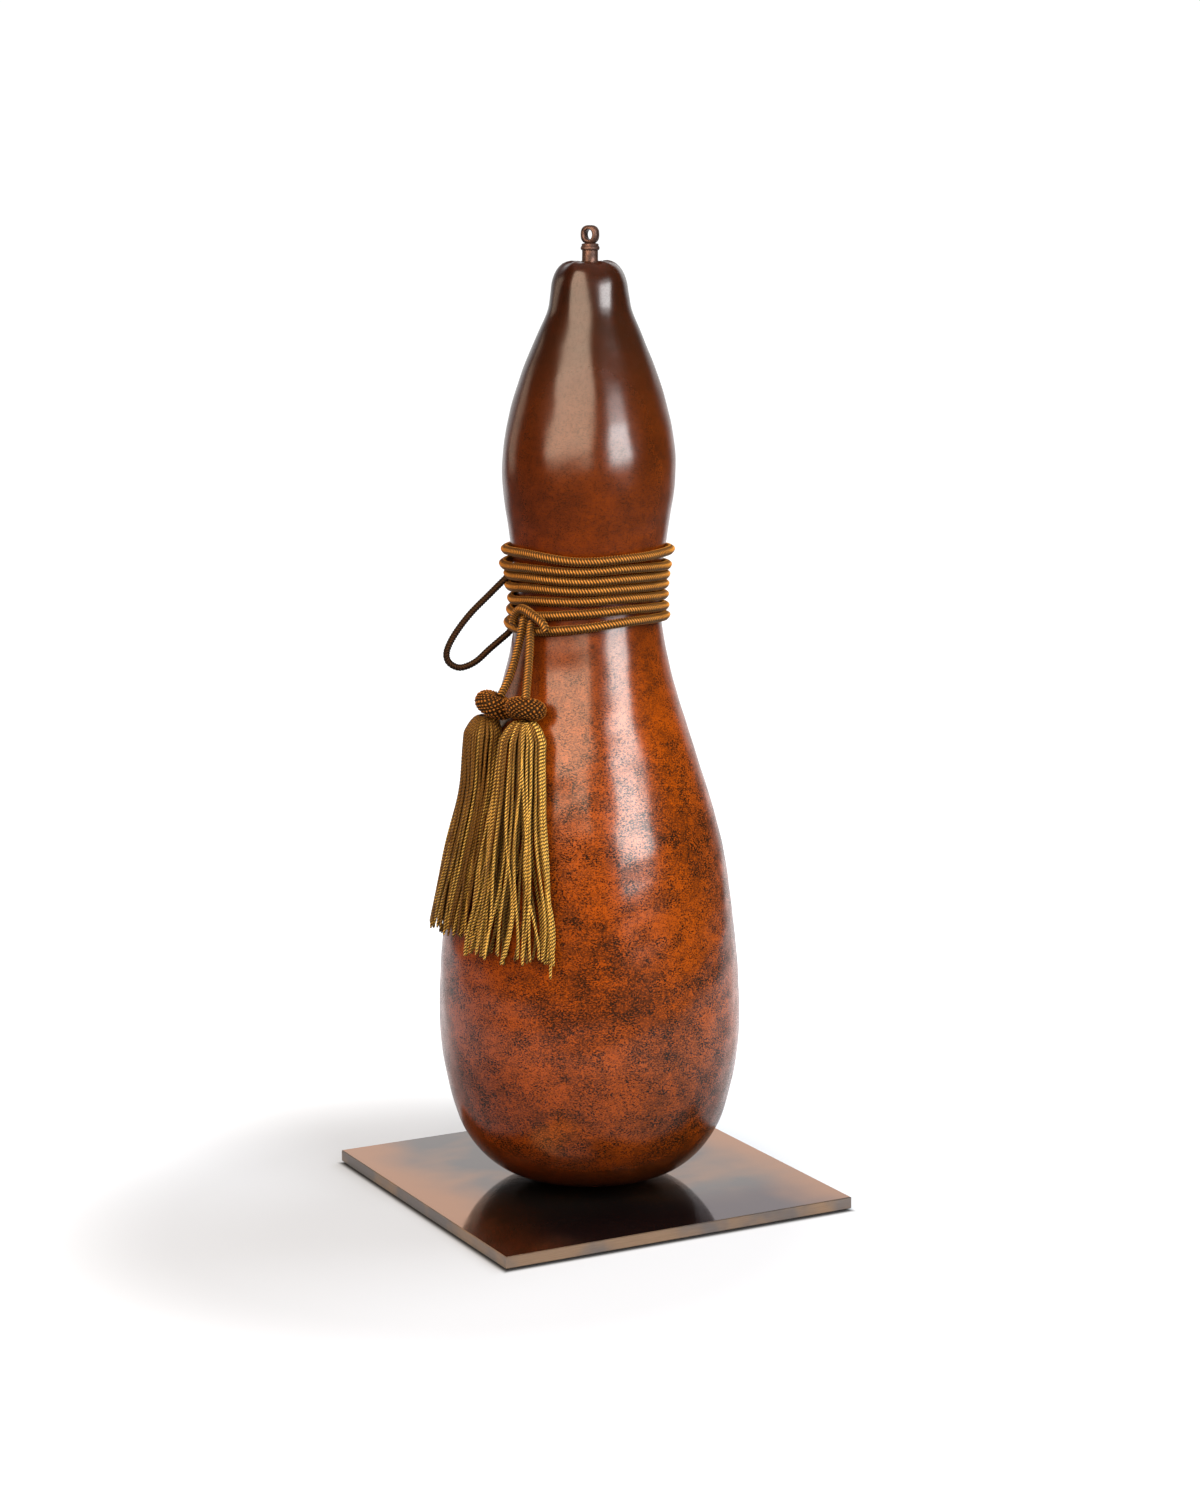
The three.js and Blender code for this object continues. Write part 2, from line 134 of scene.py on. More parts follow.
# The tassels, as in the solids: turns, half widths and half thicknesses from the neck to the hem.
# Then the range of their strands' tints, and their share of the number of strands.
HEAD_LIFT = 11.5
HEAD_HALF_HEIGHT = 5.8
HEAD_LEAN = math.radians(16)
SKIRT_CLEAR = 0.6
TASSELS = {
    "right": dict(head_turn=-33.4, head_height=261.6, top=254.8, hem=137, sway=0,
                  turns=(-32.4, -30.2, -29.6, -30.6), widths=(12.4, 15.6, 20.8, 26.5),
                  depths=(10.6, 8.4, 6.4, 5.2), tint=(-0.5, 1.0), fill=1),
    "left": dict(head_turn=-55.4, head_height=261.2, top=254.4, hem=143, sway=-20,
                 turns=(-61.5, -59.4, -61.6, -66.4), widths=(11.6, 13.2, 15.6, 19.5),
                 depths=(10.2, 6.4, 5.2, 4.8), tint=(-1.55, 0.4), fill=0.9),
}
# Inside a skirt the strands hang at the first share of its width, and their ridges are scaled by
# the second, which paints them darker as painted shade.
INNER_LAYER = 0.52
INNER_PAINTED_SHADE = 0.62

# The thin loop, as (across, away, height) seen from the side that the tassels face.
LOOP_ROUTE = (
    (-40.6, -1.2, 325.9), (-43.9, -0.9, 323.0), (-52.6, 1, 314.2), (-62.9, 2.5, 303.6),
    (-71, 4, 292.7), (-75.2, 5, 284.1), (-75, 6, 278.6), (-71.6, 7, 275.3), (-67, 8, 274.6),
    (-60.2, 9, 277.6), (-52.8, 10, 284.2), (-46.3, 11, 289.7), (-42.6, 11.5, 293),
    (-40.7, 11.8, 297), (-39.8, 11.9, 301.2),
)

# The camera stands where the photograph was taken from.
CAMERA_BACK = 1652.95
CAMERA_HEIGHT = 531.8
CAMERA_PITCH = math.radians(10.037)
CAMERA_PAN = math.radians(0.178)
CAMERA_LENS = 76.46

# The skin's colours at shares of a span over the floor, in metres, or the names of their settings.
SKIN_SPAN = 0.5
SKIN_COLOURS = (
    # The darkening towards the foot, below about 45 mm, is painted shade on the underside that
    # faces the plate.
    (0.012, (0.006, 0.0014, 0.0003)), (0.045, (0.026, 0.005, 0.0004)),
    (0.09, (0.108, 0.019, 0.0007)), (0.20, "orange"), (0.45, "orange"),
    (0.60, (0.088, 0.0155, 0.0006)), (0.70, (0.074, 0.0125, 0.0005)), (0.78, "russet"),
    (0.84, (0.028, 0.0056, 0.0005)), (0.90, (0.008, 0.0026, 0.0008)), (0.97, "crown"),
)
# Yarn shines golden. Below this height in metres its strands are painted lighter, as painted light,
# more so by the last value for each metre further down.
YARN_SHINE = (1.0, 0.6, 0.22)
PAINTED_LIGHT_BELOW = 0.25
PAINTED_LIGHT_BY = 12
# The heat tint of the plate's rim is this far off its middle.
RIM_SHIFT = 4 * MM

# Where the floor is bright to reflected light, in metres: in a wedge behind the stand, given by
# the cosines of its soft edge, and in a pool round a point behind it, but not far in front.
# Elsewhere it is dim to reflected light. It is all bright to direct view.
WEDGE = (-0.90, -0.72)
POOL = (0.715, 0.92)
POOL_BACK = 0.25
FRONT = (0.43, 0.58)
DIM = (0.02, 0.02, 0.02)
DIM_GLOW = 0.1
# The floor's own glow grows to white between these distances from a spot near the stand's middle.
# The dimmer glow round that spot is a painted shadow.
PAINTED_SHADOW_SPOT = (-60, -60)
PAINTED_SHADOW_FADE = (0.15, 0.34)
WHITE_GLOW = 1.02

# The softboxes: name, setting of the power, turn and lean in degrees, distance, height and size
# in millimetres, colour, and which surfaces they light.
WHITE = (1, 1, 1)
WARM = (1, 0.76, 0.56)
SOFTBOXES = (
    ("right_softbox", "key", 42, 31, 1714, 1280, (900, 1750), WHITE, "matt"),
    ("left_softbox", "fill", -26, 31, 1714, 1280, (2000, 1750), WARM, "matt"),
    ("side_softbox", "side", 118, 45, 1556, 1806, (1300, 1300), WHITE, "matt"),
    ("top_softbox", "top", 180, 72, 680, 2342, (1800, 1800), WHITE, "matt"),
    ("right_shine", "right_shine", 42, 0, 2100, 885, (1100, 750), WHITE, "glossy"),
    ("high_shine", "high_shine", 42, 0, 2100, 1510, (1000, 560), WHITE, "glossy"),
    ("left_shine", "left_shine", -28, 0, 600, 922, (720, 955), WARM, "glossy"),
    ("rim_shine", "rim_shine", -120, 0, 2100, 720, (700, 960), WARM, "glossy"),
)


# Curves and places

def spline(points, count):
    """A uniform Catmull-Rom curve through the points, at count + 1 even steps of its parameter."""
    points = np.asarray(points, float)
    last = len(points) - 1
    at = np.linspace(0, last, count + 1)
    i = np.minimum(at.astype(int), last - 1)
    t = (at - i)[:, None]
    a, b = points[np.maximum(i - 1, 0)], points[i]
    c, d = points[i + 1], points[np.minimum(i + 2, last)]
    rise, leave = (c - a) / 2, (d - b) / 2
    return ((2 * t ** 3 - 3 * t ** 2 + 1) * b + (t ** 3 - 2 * t ** 2 + t) * rise
            + (3 * t ** 2 - 2 * t ** 3) * c + (t ** 3 - t ** 2) * leave)


def travelled(points):
    """How far along the line each of its points is."""
    return np.concatenate([[0], np.cumsum(np.linalg.norm(np.diff(points, axis=0), axis=1))])


def even(points, step):
    """The same line with its points about step apart."""
    gone = travelled(points)
    at = np.linspace(0, gone[-1], max(2, round(gone[-1] / step)) + 1)
    return np.stack([np.interp(at, gone, points[:, k]) for k in range(3)], -1)


OUTLINE_POINTS = spline(GOURD_OUTLINE, 40 * (len(GOURD_OUTLINE) - 1))


def gourd_radius(height):
    """The gourd's radius at a height over the stand."""
    return np.interp(height, OUTLINE_POINTS[:, 1], OUTLINE_POINTS[:, 0])


def seen(across, away, height):
    """A point seen from the side that the tassels face."""
    across, away, height = np.broadcast_arrays(across, away, height)
    return np.stack([
        across * math.cos(FACING) - away * math.sin(FACING),
        across * math.sin(FACING) + away * math.cos(FACING),
        height + STAND_TOP,
    ], -1)


# The direction from the gourd to that side.
TOWARD = seen(0, -1, -STAND_TOP)


def around(turn, radius, height):
    """A point at a turn in degrees from that side. The gourd's middle bows a little to its left."""
    angle = np.radians(turn)
    bow = GOURD_BOW * np.sin(np.pi * np.asarray(height) / GOURD_HEIGHT)
    return seen(radius * np.sin(angle) - bow, -radius * np.cos(angle), height)


def on_gourd(turn, height, lift):
    """A point lifted off the gourd's skin."""
    return around(turn, gourd_radius(height) + lift, height)


def along(values, share):
    """A value between the stated ones, spread evenly over a share from 0 to 1."""
    curve = spline(np.asarray(values, float)[:, None], 60)[:, 0]
    return np.interp(share, np.linspace(0, 1, 61), curve)


def unit(vectors):
    """The same directions with a length of 1."""
    return vectors / np.maximum(np.linalg.norm(vectors, axis=-1, keepdims=True), 1e-9)


def ripple(points, wavelength, seed):
    """A smooth repeatable unevenness between about -1 and 1."""
    rng = np.random.default_rng(seed)
    total = np.zeros(len(points))
    for _ in range(7):
        direction = unit(rng.normal(size=3))
        size = wavelength * rng.uniform(0.6, 1.6)
        total += np.sin(points @ direction * 2 * np.pi / size + rng.uniform(0, 2 * np.pi))
    return total / 3.5


# Meshes

def mesh_piece(name, points, quads, fans=(), ridge=None, tint=None):
    """An object from points in millimetres, its quads and its triangle fans as (centre, ring)."""
    triangles = [
        (centre, ring[k], ring[(k + 1) % len(ring)])
        for centre, ring in fans for k in range(len(ring))
    ]
    corners = np.concatenate([quads.ravel(), np.array(triangles, int).ravel()]).astype(np.int32)
    sizes = np.concatenate([np.full(len(quads), 4), np.full(len(triangles), 3)]).astype(np.int32)
    starts = np.concatenate([[0], np.cumsum(sizes)[:-1]]).astype(np.int32)
    mesh = bpy.data.meshes.new(name)
    mesh.vertices.add(len(points))
    mesh.vertices.foreach_set("co", (points * MM).astype(np.float32).ravel())
    mesh.loops.add(len(corners))
    mesh.loops.foreach_set("vertex_index", corners)
    mesh.polygons.add(len(sizes))
    mesh.polygons.foreach_set("loop_start", starts)
    mesh.update(calc_edges=True)
    mesh.validate()
    mesh.polygons.foreach_set("use_smooth", np.ones(len(mesh.polygons), bool))
    for label, values in (("ridge", ridge), ("tint", tint)):
        if values is not None:
            mesh.attributes.new(label, "FLOAT", "POINT").data.foreach_set(
                "value", np.asarray(values, np.float32))
    piece = bpy.data.objects.new(name, mesh)
    bpy.context.scene.collection.objects.link(piece)
    return piece


def ring_quads(rings, sides, start=0, closed=False):
    """The quads of a grid of rings, whose points run round and then along."""
    i, j = np.meshgrid(np.arange(rings if closed else rings - 1), np.arange(sides), indexing="ij")
    after = (i + 1) % rings
    beside = (j + 1) % sides
    corners = [i * sides + j, i * sides + beside, after * sides + beside, after * sides + j]
    return np.stack([c.ravel() for c in corners], -1) + start


def tube_points(path, outward, radii, turned=0.0):
    """The points of a tube of varying radius: radii has a row for each point of the path."""
    tangent = unit(np.gradient(path, axis=0))
    side = unit(np.cross(tangent, outward))
    normal = np.cross(side, tangent)
    sides = radii.shape[1]
    angle = 2 * np.pi * np.arange(sides) / sides + np.reshape(turned, (-1, 1))
    return (path[:, None] + radii[..., None] * (
        np.cos(angle)[..., None] * normal[:, None] + np.sin(angle)[..., None] * side[:, None]))


class Bundle:
    """Collects tubes into the points and faces of one piece."""

    # The yarn's ridge value at its cut ends, which paints them in the dark colour of the painted
    # shade between its ridges.
    END_RIDGE = 0.3

    def __init__(self):
        self.points, self.quads, self.fans = [], [], []
        self.ridge, self.tint, self.count = [], [], 0

    def add(self, rings, ridge, tint=0.5, closed=False):
        """Adds a tube as rings of points: closed on itself, or else capped at both ends."""
        rows, sides = rings.shape[:2]
        start = self.count
        if closed:
            self.points.append(rings.reshape(-1, 3))
            self.quads.append(ring_quads(rows, sides, start, True))
            self.ridge.append(np.full(rows * sides, ridge))
            self.tint.append(np.full(rows * sides, tint))
            self.count += rows * sides
            return
        ends = [rings[0].mean(0), rings[-1].mean(0)]
        self.points += [rings.reshape(-1, 3), np.array(ends)]
        self.quads.append(ring_quads(rows, sides, start))
        last = start + (rows - 1) * sides
        centre = start + rows * sides
        self.fans.append((centre, [start + k for k in reversed(range(sides))]))
        self.fans.append((centre + 1, [last + k for k in range(sides)]))
        self.ridge += [np.broadcast_to(ridge, (rows, sides)).ravel(), [self.END_RIDGE] * 2]
        self.tint.append(np.full(rows * sides + 2, tint))
        self.count = centre + 2

    def piece(self, name):
        return mesh_piece(name, np.concatenate(self.points), np.concatenate(self.quads),
                          self.fans, np.concatenate(self.ridge), np.concatenate(self.tint))


def braid(path, outward, radius, pitch, columns=4, across=4, per_stitch=4):
    """A round braid: columns of slanted stitches that lean one way and the other in turn."""
    path = even(path, pitch / per_stitch)
    outward = outward(path) if callable(outward) else np.broadcast_to(outward, path.shape)
    sides = columns * across
    gone = travelled(path)
    column, place = np.divmod(np.arange(sides) + 0.5, across)
    place = place / across
    lean = np.where(column % 2 == 0, 1.0, -1.0)
    stitch = 0.5 + 0.5 * np.cos(2 * np.pi * (gone[:, None] / pitch + lean * (place - 0.5) * 1.1))
    ridge = stitch * (0.40 + 0.60 * np.sin(np.pi * place))
    radii = radius * (0.80 + 0.28 * ridge)
    ends = np.minimum(gone, gone[-1] - gone)[:, None] / (0.5 * radius)
    radii = radii * np.sqrt(np.clip(0.2 + ends, 0, 1))
    return tube_points(path, outward, radii, np.pi / 4), ridge


def from_axis(path):
    """The direction away from the gourd's middle."""
    return unit(path * np.array([1, 1, 0]))


def finish_piece(piece, slot, finish, *replaced):
    """Every new piece rides on the one body, stands for its solids and gets its material."""
    piece.data.materials.append(finish)
    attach(piece, "root")
    if replaced:
        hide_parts(*replaced)
    return piece


# Materials

class Wire:
    """A shader socket that Python's operators join into Math nodes."""

    def __init__(self, finish, socket):
        self.finish = finish
        self.socket = socket

    def maths(self, operation, a, b):
        return self.finish.node("ShaderNodeMath", {"operation": operation}, {0: a, 1: b})

    def __add__(self, other):
        return self.maths("ADD", self, other)

    def __sub__(self, other):
        return self.maths("SUBTRACT", self, other)

    def __rsub__(self, other):
        return self.maths("SUBTRACT", other, self)

    def __mul__(self, other):
        return self.maths("MULTIPLY", self, other)

    def __truediv__(self, other):
        return self.maths("DIVIDE", self, other)

    def above(self, other):
        return self.maths("GREATER_THAN", self, other)

    def larger(self, other):
        return self.maths("MAXIMUM", self, other)

    def smaller(self, other):
        return self.maths("MINIMUM", self, other)

    def size(self):
        return self.maths("ABSOLUTE", self, 0)

    __radd__ = __add__
    __rmul__ = __mul__


class Finish:
    """A material built round one Principled shader, or a world round its background."""

    def __init__(self, name, world=False):
        self.block = (bpy.data.worlds if world else bpy.data.materials).new(name)
        self.block.use_nodes = True
        self.tree = self.block.node_tree
        self.shader = self.tree.nodes["Background" if world else "Principled BSDF"]

    def plug(self, socket, value):
        """Links a wire, or sets a number or colour."""
        if isinstance(value, Wire):
            self.tree.links.new(value.socket, socket)
        elif hasattr(socket.default_value, "__len__") and len(value) < len(socket.default_value):
            socket.default_value = (*value, 1)
        else:
            socket.default_value = value

    def node(self, kind, settings=None, sockets=None, out=0):
        """Adds a node with its settings and inputs, and gives one of its outputs."""
        made = self.tree.nodes.new(kind)
        for key, value in (settings or {}).items():
            if key == "stops":
                self.set_stops(made.color_ramp, value)
            else:
                setattr(made, key, value)
        for key, value in (sockets or {}).items():
            self.plug(made.inputs[key], value)
        return Wire(self, made.outputs[out])

    def set_stops(self, ramp, stops):
        while len(ramp.elements) < len(stops):
            ramp.elements.new(0.5)
        for element, (place, colour) in zip(ramp.elements, stops):
            element.position = place
            element.color = (*colour, 1)

    def place(self, stretch=(1, 1, 1)):
        spot = self.node("ShaderNodeTexCoord", out="Object")
        return self.node("ShaderNodeVectorMath", {"operation": "MULTIPLY"}, {0: spot, 1: stretch})

    def dot(self, vector, other):
        return self.node("ShaderNodeVectorMath", {"operation": "DOT_PRODUCT"},
                         {0: vector, 1: other}, out="Value")

    def length(self, vector):
        return self.node("ShaderNodeVectorMath", {"operation": "LENGTH"}, {0: vector}, out="Value")

    def axis(self, vector, name):
        return self.node("ShaderNodeSeparateXYZ", None, {0: vector}, out=name)

    def noise(self, where, scale, detail=3, roughness=0.5):
        return self.node("ShaderNodeTexNoise", None, {
            "Vector": where, "Scale": scale, "Detail": detail, "Roughness": roughness}, out="Fac")

    def ramp(self, value, *stops):
        return self.node("ShaderNodeValToRGB", {"stops": stops}, {0: value})

    def fade(self, value, low, high, start=0.0, end=1.0):
        return self.node("ShaderNodeMapRange", {"interpolation_type": "SMOOTHSTEP"}, {
            "Value": value, "From Min": low, "From Max": high, "To Min": start, "To Max": end})

    def mix(self, factor, a, b):
        return self.node("ShaderNodeMix", {"data_type": "RGBA"}, {0: factor, 6: a, 7: b}, out=2)

    def attribute(self, name):
        return self.node("ShaderNodeAttribute", {"attribute_name": name}, out="Fac")

    def bump(self, height, distance, strength=1.0):
        return self.node("ShaderNodeBump", None, {
            "Height": height, "Distance": distance, "Strength": strength})

    def shade(self, **values):
        for key, value in values.items():
            self.plug(self.shader.inputs[key.replace("_", " ")], value)
        return self.block


def gourd_skin(look):
    """Lacquered skin: orange-brown with dark flecks below, dark at the crown."""
    skin = Finish("gourd_skin")
    where = skin.place()
    height = skin.axis(where, "Z")
    # Colour by height, with painted shade towards the foot.
    ground = skin.ramp(height / SKIN_SPAN, *(
        (share, getattr(look, colour) if isinstance(colour, str) else colour)
        for share, colour in SKIN_COLOURS))
    cloud = skin.noise(where, 16, 4, 0.6)
    patch = skin.noise(skin.place((1, 1, 1.4)), 85, 4, 0.62)
    mottle = cloud * 0.5 + patch * 0.5
    low = skin.fade(height, 0.20, 0.34, 1.0, 0.45) * skin.fade(height, 0.010, 0.045, 0.5, 1.0)
    ground = skin.mix(skin.fade(mottle, 0.38, 0.68) * (0.85 - low * 0.53), ground, look.shadow)
    worn = skin.fade(mottle, 0.36, 0.62)
    speck = skin.noise(skin.place((1, 1, 1.7)), 920, 3, 0.6)
    curl = skin.noise(skin.place((1, 1, 1.9)), 520, 3, 0.6)
    broken = skin.noise(where, 380, 3, 0.6)
    hair = skin.fade((curl - 0.5).size(), 0.008, 0.036, 1.0, 0.0) * skin.fade(
        broken + worn * low * 0.15 + low * 0.07, 0.53, 0.61)
    dots = skin.fade(speck + worn * low * 0.11 + low * 0.045, 0.59, 0.66)
    faint = skin.fade(skin.noise(where, 140, 3, 0.6), 0.3, 0.6, 0.6, 1.0)
    fleck = hair.larger(dots) * (low * 0.65 + 0.35) * faint
    grain = skin.noise(where, 1300, 2, 0.6)
    ground = skin.mix(skin.fade(grain, 0.3, 0.75, 0.0, 0.4), ground, look.shadow)
    colour = skin.mix(fleck, ground, look.fleck)
    return skin.shade(
        Base_Color=colour, Roughness=0.5, Specular_IOR_Level=0.0,
        Coat_Weight=1 - fleck * 0.42, Coat_Roughness=look.gloss, Coat_IOR=1.33,
        Normal=skin.bump(grain - fleck, 0.00015, 0.6))


def heat_tinted_copper(look):
    """Mirror-polished top with heat tints, and brushed sides."""
    plate = Finish("heat_tinted_copper")
    where = plate.place()
    x, y = plate.axis(where, "X"), plate.axis(where, "Y")
    from_edge = PLATE_HALF - (x - RIM_SHIFT).size()
    warp = plate.noise(where, 12, 3, 0.55)
    rim = plate.fade(from_edge + (warp - 0.5) * 0.06, 0.004, 0.045, 1.0, 0.0)
    cloud = plate.noise(plate.place((1, 1.5, 1)), 11, 3, 0.55)
    inside = plate.ramp(cloud, (0.34, look.plum), (0.50, look.plum), (0.66, look.umber))
    inside = plate.mix(plate.fade(y + (warp - 0.5) * 0.08, -0.085, -0.035, 1.0, 0.0), inside,
                       look.slate)
    top = plate.mix(rim, inside, look.copper)
    normal = plate.node("ShaderNodeNewGeometry", out="Normal")
    upward = plate.axis(normal, "Z").size().above(0.9)
    streaks = plate.noise(plate.place((1, 1, 60)), 90, 4, 0.6)
    patina = plate.noise(where, 22, 3, 0.6)
    side = plate.mix(plate.fade(patina, 0.42, 0.6), look.side, look.side_grey)
    side = plate.mix(plate.fade(streaks, 0.35, 0.7, 0.0, 0.35), side, look.streak)
    smear = plate.noise(plate.place((1, 3, 1)), 25, 4, 0.65)
    top_rough = plate.fade(smear, 0.3, 0.75, 0.035, 0.11)
    rough = upward * top_rough + (1 - upward) * 0.32
    return plate.shade(Base_Color=plate.mix(upward, side, top), Metallic=0.985, Roughness=rough)


def patinated_bronze(look):
    """Dark metal, a little lighter and smoother where it is worn."""
    bronze = Finish("patinated_bronze")
    where = bronze.place()
    wear = bronze.noise(where, 260, 4, 0.6)
    colour = bronze.mix(bronze.fade(wear, 0.4, 0.68), look.bronze, look.bronze_worn)
    rough = bronze.fade(wear, 0.3, 0.7, 0.58, 0.42)
    return bronze.shade(Base_Color=colour, Metallic=0.75, Roughness=rough,
                        Normal=bronze.bump(wear, 0.0002, 0.5))


def dark_felt(look):
    """Felt with fine fibres."""
    felt = Finish("dark_felt")
    fibre = felt.noise(felt.place(), 900, 4, 0.7)
    colour = felt.mix(felt.fade(fibre, 0.3, 0.7), look.felt, look.felt_fibre)
    return felt.shade(Base_Color=colour, Roughness=0.95, Normal=felt.bump(fibre, 0.0004, 0.8))


def yarn(name, painted_shade_and_fibre, light, tip, rough, shine):
    """Twisted or braided yarn with painted shade between its ridges and at its cut ends, fine
    fibres, and painted light on strands below a height.
    """
    thread = Finish(name)
    ridge = thread.attribute("ridge")
    tint = thread.attribute("tint")
    where = thread.place()
    # Painted light: strands below a height are painted lighter, added to a random drift of their
    # tone.
    below = (thread.axis(where, "Z") - PAINTED_LIGHT_BELOW).smaller(0)
    drift_and_painted_light = thread.noise(where, 70, 3, 0.6) - below * PAINTED_LIGHT_BY
    fibre = thread.noise(where, 2600, 2, 0.6)
    lit = thread.mix(thread.fade(tint * 0.6 + drift_and_painted_light * 0.55, 0.25, 0.80), light, tip)
    # Painted shade: between its ridges the yarn darkens to this dark colour, which the next line
    # also gives to darker fibres.
    colour = thread.mix(thread.fade(ridge, 0.40, 0.77), painted_shade_and_fibre, lit)
    colour = thread.mix(thread.fade(fibre, 0.45, 0.75, 0.0, 0.4), colour, painted_shade_and_fibre)
    return thread.shade(
        Base_Color=colour, Roughness=rough, Specular_IOR_Level=shine, Specular_Tint=YARN_SHINE,
        Normal=thread.bump(fibre, 0.00015, 0.5))


# Settings

def colour_property(name, description, default):
    return FloatVectorProperty(name=name, description=description, default=default, size=3,
                               subtype="COLOR", min=0, max=1)


def length_property(name, description, millimetres):
    return FloatProperty(name=name, description=description, default=millimetres * MM,
                         unit="LENGTH", precision=5)


def power_property(name, description, default):
    return FloatProperty(name=name, description=description, default=default, min=0, unit="POWER")


class GourdLook(bpy.types.PropertyGroup):
    """The gourd's skin."""
    rings: IntProperty(name="Rings", description="Rings of faces up the skin", default=250, min=60)
    sides: IntProperty(name="Sides", description="Faces round the skin", default=176, min=32)
    lobe: length_property("Crown lobes", "Depth of the lobes round the crown", 0.55)
    wave: length_property("Unevenness", "Natural unevenness of the skin", 0.35)
    orange: colour_property("Belly", "Skin of the belly", (0.136, 0.0240, 0.0006))
    russet: colour_property("Upper bulb", "Skin of the upper bulb", (0.046, 0.0085, 0.0004))
    crown: colour_property("Crown", "Skin of the crown", (0.005, 0.0018, 0.0009))
    shadow: colour_property("Mottling", "The darker mottling", (0.020, 0.0035, 0.0004))
    fleck: colour_property("Flecks", "The dark flecks", (0.008, 0.003, 0.001))
    gloss: FloatProperty(name="Lacquer roughness", description="Of the clear lacquer",
                         default=0.215, min=0, max=1, subtype="FACTOR")


class MetalLook(bpy.types.PropertyGroup):
    """The plate with its felt pad, and the stopper."""
    copper: colour_property("Copper", "Tint near the plate's edges", (0.39, 0.175, 0.08))
    slate: colour_property("Slate", "Bluish heat tint", (0.09, 0.062, 0.068))
    plum: colour_property("Plum", "Purplish heat tint", (0.138, 0.116, 0.109))
    umber: colour_property("Umber", "Brown heat tint", (0.29, 0.16, 0.10))
    side: colour_property("Side", "The plate's brushed sides", (0.30, 0.20, 0.13))
    side_grey: colour_property("Side tint", "Grey tint on the sides", (0.17, 0.15, 0.14))
    streak: colour_property("Streaks", "Dark streaks on the sides", (0.13, 0.08, 0.055))
    bronze: colour_property("Bronze", "The stopper's patina", (0.022, 0.011, 0.008))
    bronze_worn: colour_property("Worn bronze", "Where the patina is worn", (0.055, 0.028, 0.020))
    felt: colour_property("Felt", "Between the felt's fibres", (0.006, 0.005, 0.005))
    felt_fibre: colour_property("Felt fibres", "The felt's fibres", (0.022, 0.019, 0.018))


class CordLook(bpy.types.PropertyGroup):
    """The braided cords."""
    diameter: length_property("Cord diameter", "Of the waist cord and its ends", 4.6)
    stitch: length_property("Stitch", "Length of a stitch of the waist cord", 1.5)
    lay: length_property("Lay", "Gap between the cord and the gourd", 0.5)
    loop_diameter: length_property("Loop diameter", "Of the thin dark loop", 3.6)
    loop_stitch: length_property("Loop stitch", "Length of a stitch of the loop", 1.5)
    # Painted shade between the stitches, also the colour of the darker fibres.
    painted_shade_and_fibre: colour_property("Deep", "Between the stitches", (0.003, 0.001, 0.0005))
    light: colour_property("Light", "The stitches", (0.170, 0.058, 0.008))
    tip: colour_property("Golden", "The golden stitches", (0.270, 0.112, 0.017))
    # Painted shade between the loop's stitches, also the colour of its darker fibres.
    loop_painted_shade_and_fibre: colour_property("Loop deep", "Between the loop's stitches", (0.002, 0.001, 0.001))
    loop_light: colour_property("Loop", "The loop's stitches", (0.010, 0.0045, 0.003))
    loop_tip: colour_property("Loop light", "Its lighter stitches", (0.024, 0.011, 0.008))


class TasselLook(bpy.types.PropertyGroup):
    """The tassels' heads and strands."""
    outer: IntProperty(name="Outer strands", description="Strands round a skirt", default=52,
                       min=8)
    inner: IntProperty(name="Inner strands", description="Strands inside a skirt", default=12,
                       min=0)
    strand: length_property("Strand", "Diameter of a strand", 1.55)
    twist: length_property("Twist", "Length of one turn of the two plies", 3.6)
    head: length_property("Head", "Radius of a head", 11.0)
    # Painted shade between the plies, also the colour of the darker fibres.
    painted_shade_and_fibre: colour_property("Deep", "Between the plies", (0.003, 0.0012, 0.0003))
    light: colour_property("Light", "The plies", (0.090, 0.040, 0.006))
    tip: colour_property("Golden", "The lighter strands", (0.370, 0.220, 0.044))
    knit: colour_property("Head", "The heads' yarn", (0.060, 0.016, 0.002))


class StageLook(bpy.types.PropertyGroup):
    """Floor and lights."""
    floor: colour_property("Floor", "The pale floor", (0.130, 0.138, 0.150))
    # The glow in the middle of the painted shadow round the stand; further out it grows to white.
    glow: FloatProperty(name="Floor glow", description="Light that the floor gives off",
                        default=0.33, min=0)
    front: FloatProperty(name="Front of the room", description="Brightness behind the camera",
                         default=0.05, min=0)
    back: FloatProperty(name="Back of the room", description="Brightness behind the gourd",
                        default=1.05, min=0)
    overhead: FloatProperty(name="Top of the room", description="Brightness over the gourd",
                            default=0.5, min=0)
    key: power_property("Key light", "Softbox at the right", 140)
    fill: power_property("Fill light", "Softbox at the left", 138)
    side: power_property("Side light", "Softbox at the far right", 105)
    top: power_property("Top light", "Overhead softbox", 16)
    right_shine: power_property("Right reflection", "Only reflected, at the right", 85)
    high_shine: power_property("High reflection", "Only reflected, high at the right", 85 / 6)
    left_shine: power_property("Left reflection", "Only reflected, at the left", 34)
    rim_shine: power_property("Rim reflection", "Only reflected, at the far left", 4.5)


# Operators

class GOURD_OT_camera(bpy.types.Operator):
    """Add the camera at the photograph's place"""
    bl_idname = "gourd.camera"
    bl_label = "Camera"

    def execute(self, context):
        lens = bpy.data.cameras.new("camera")
        lens.lens = CAMERA_LENS
        lens.sensor_width = 36
        lens.clip_end = 50
        camera = bpy.data.objects.new("camera", lens)
        context.scene.collection.objects.link(camera)
        spot = seen(0, -CAMERA_BACK, CAMERA_HEIGHT - STAND_TOP) * MM
        camera.location = spot.tolist()
        camera.rotation_euler = (math.pi / 2 - CAMERA_PITCH, 0, FACING - CAMERA_PAN)
        context.scene.camera = camera
        return {"FINISHED"}


